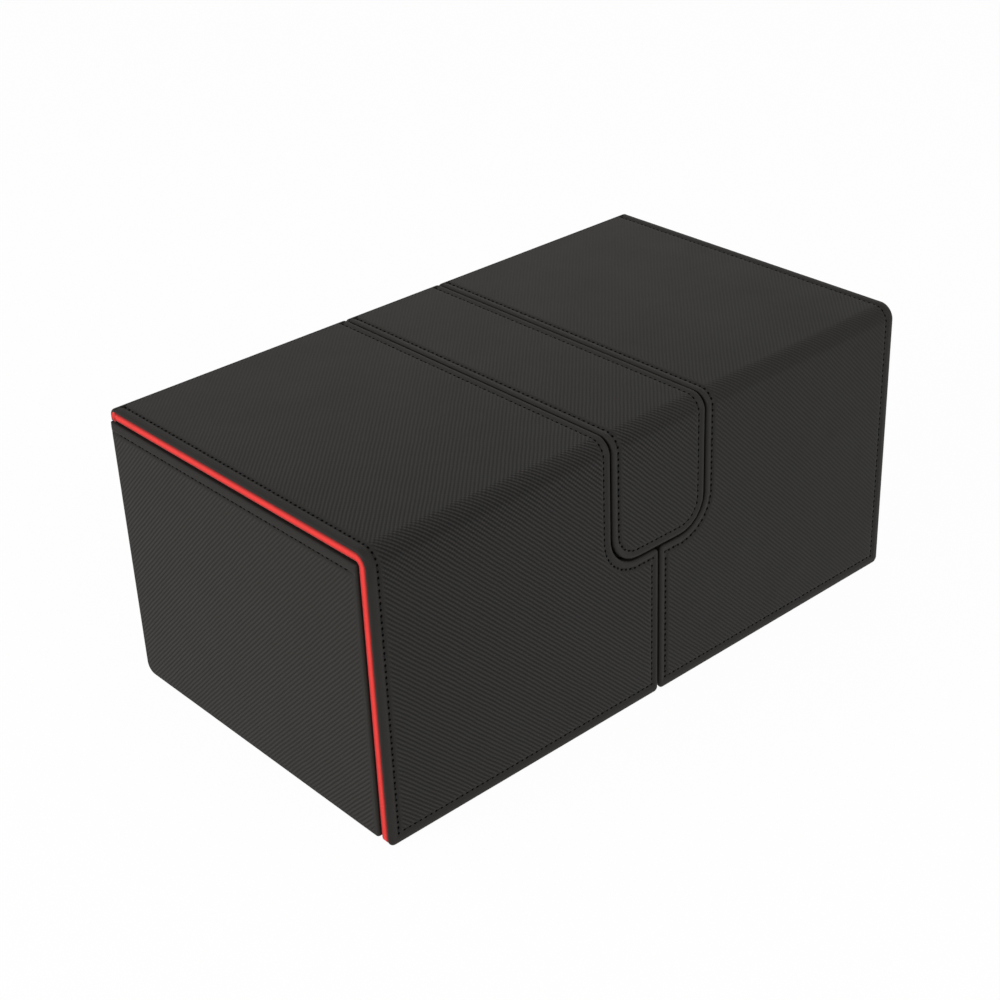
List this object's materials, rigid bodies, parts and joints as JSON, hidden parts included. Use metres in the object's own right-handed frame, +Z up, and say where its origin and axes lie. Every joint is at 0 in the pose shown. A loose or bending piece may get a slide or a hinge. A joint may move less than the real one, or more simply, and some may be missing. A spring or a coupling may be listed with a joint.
{
  "type": "playing card box with drawer",
  "caption": "Flip-top playing card box with a left and a right lid, a centre closing strap and a drawer that slides out of the left end.",
  "frame": {"origin": "centre of the closed box's footprint, on the surface that it stands on", "axes": "+X runs along the long front face to the right, the front with the tongue faces -Y, +Z is up; the drawer's end is at -X"},
  "size_m": [0.2314, 0.1306, 0.102],
  "materials": {
    "black_leather": "black synthetic leather with a fine diagonal emboss, satin",
    "red_lining": "red brushed microfibre, matt",
    "grey_board": "grey bookbinding board, hidden",
    "black_paper": "black covering paper, matt",
    "steel_disc": "plain steel disc",
    "magnet": "nickel-plated magnet disc"
  },
  "bodies": {
    "case": {"case_wrap": "black_leather", "base_board": "grey_board", "front_board": "grey_board", "left_end_board": "grey_board", "back_board": "grey_board", "bay_partition": "grey_board", "bay_roof": "grey_board", "well_divider": "grey_board", "right_end_cover": "black_leather", "right_end_board": "grey_board", "left_end_facing": "black_leather", "left_well_lining": "red_lining", "right_well_lining": "red_lining", "bay_lining": "black_paper", "left_flap_catch": "steel_disc", "tongue_catch": "steel_disc", "right_flap_catch": "steel_disc", "drawer_catch_lower": "steel_disc", "drawer_catch_upper": "steel_disc"},
    "drawer": {"drawer_front_cover": "black_leather", "drawer_front_board": "grey_board", "drawer_front_facing": "black_paper", "drawer_floor": "grey_board", "drawer_side_near": "grey_board", "drawer_side_rear": "grey_board", "drawer_end": "grey_board", "drawer_lining": "red_lining", "drawer_magnet_lower": "magnet", "drawer_magnet_upper": "magnet"},
    "left_lid": {"left_lid_cover": "black_leather", "left_lid_board": "grey_board", "left_lid_lining": "red_lining", "left_hinge_strip": "black_leather", "left_fold_cover": "black_leather", "left_fold_lining": "red_lining"},
    "left_flap": {"left_flap_cover": "black_leather", "left_flap_board": "grey_board", "left_flap_lining": "red_lining", "left_flap_magnet": "magnet"},
    "right_lid": {"right_lid_cover": "black_leather", "right_lid_board": "grey_board", "right_lid_lining": "red_lining", "right_hinge_strip": "black_leather", "right_fold_cover": "black_leather", "right_fold_lining": "red_lining"},
    "right_flap": {"right_flap_cover": "black_leather", "right_flap_board": "grey_board", "right_flap_lining": "red_lining", "right_flap_magnet": "magnet"},
    "strap": {"strap_cover": "black_leather", "strap_board": "grey_board", "strap_lining": "red_lining", "strap_hinge_strip": "black_leather", "strap_fold_cover": "black_leather", "strap_fold_lining": "red_lining"},
    "tongue": {"tongue_cover": "black_leather", "tongue_board": "grey_board", "tongue_lining": "red_lining", "tongue_magnet": "magnet"}
  },
  "joints": [
    {"name": "drawer_slide", "type": "slide", "parent": "case", "child": "drawer", "axis": [-1, 0, 0], "range_m": [0, 0.19]},
    {"name": "left_lid_hinge", "type": "hinge", "parent": "case", "child": "left_lid", "pos_m": [0, 0.06421, 0.10096], "axis": [-1, 0, 0], "range_deg": [0, 180], "deforming": ["left_hinge_strip"]},
    {"name": "left_flap_fold", "type": "hinge", "parent": "left_lid", "child": "left_flap", "pos_m": [0, -0.06368, 0.10043], "axis": [-1, 0, 0], "range_deg": [0, 90], "deforming": ["left_fold_cover", "left_fold_lining"]},
    {"name": "right_lid_hinge", "type": "hinge", "parent": "case", "child": "right_lid", "pos_m": [0, 0.06421, 0.10096], "axis": [-1, 0, 0], "range_deg": [0, 180], "deforming": ["right_hinge_strip"]},
    {"name": "right_flap_fold", "type": "hinge", "parent": "right_lid", "child": "right_flap", "pos_m": [0, -0.06368, 0.10043], "axis": [-1, 0, 0], "range_deg": [0, 90], "deforming": ["right_fold_cover", "right_fold_lining"]},
    {"name": "strap_hinge", "type": "hinge", "parent": "case", "child": "strap", "pos_m": [0, 0.06421, 0.10096], "axis": [-1, 0, 0], "range_deg": [0, 180], "deforming": ["strap_hinge_strip"]},
    {"name": "tongue_fold", "type": "hinge", "parent": "strap", "child": "tongue", "pos_m": [0, -0.06368, 0.10043], "axis": [-1, 0, 0], "range_deg": [0, 90], "deforming": ["strap_fold_cover", "strap_fold_lining"]}
  ]
}
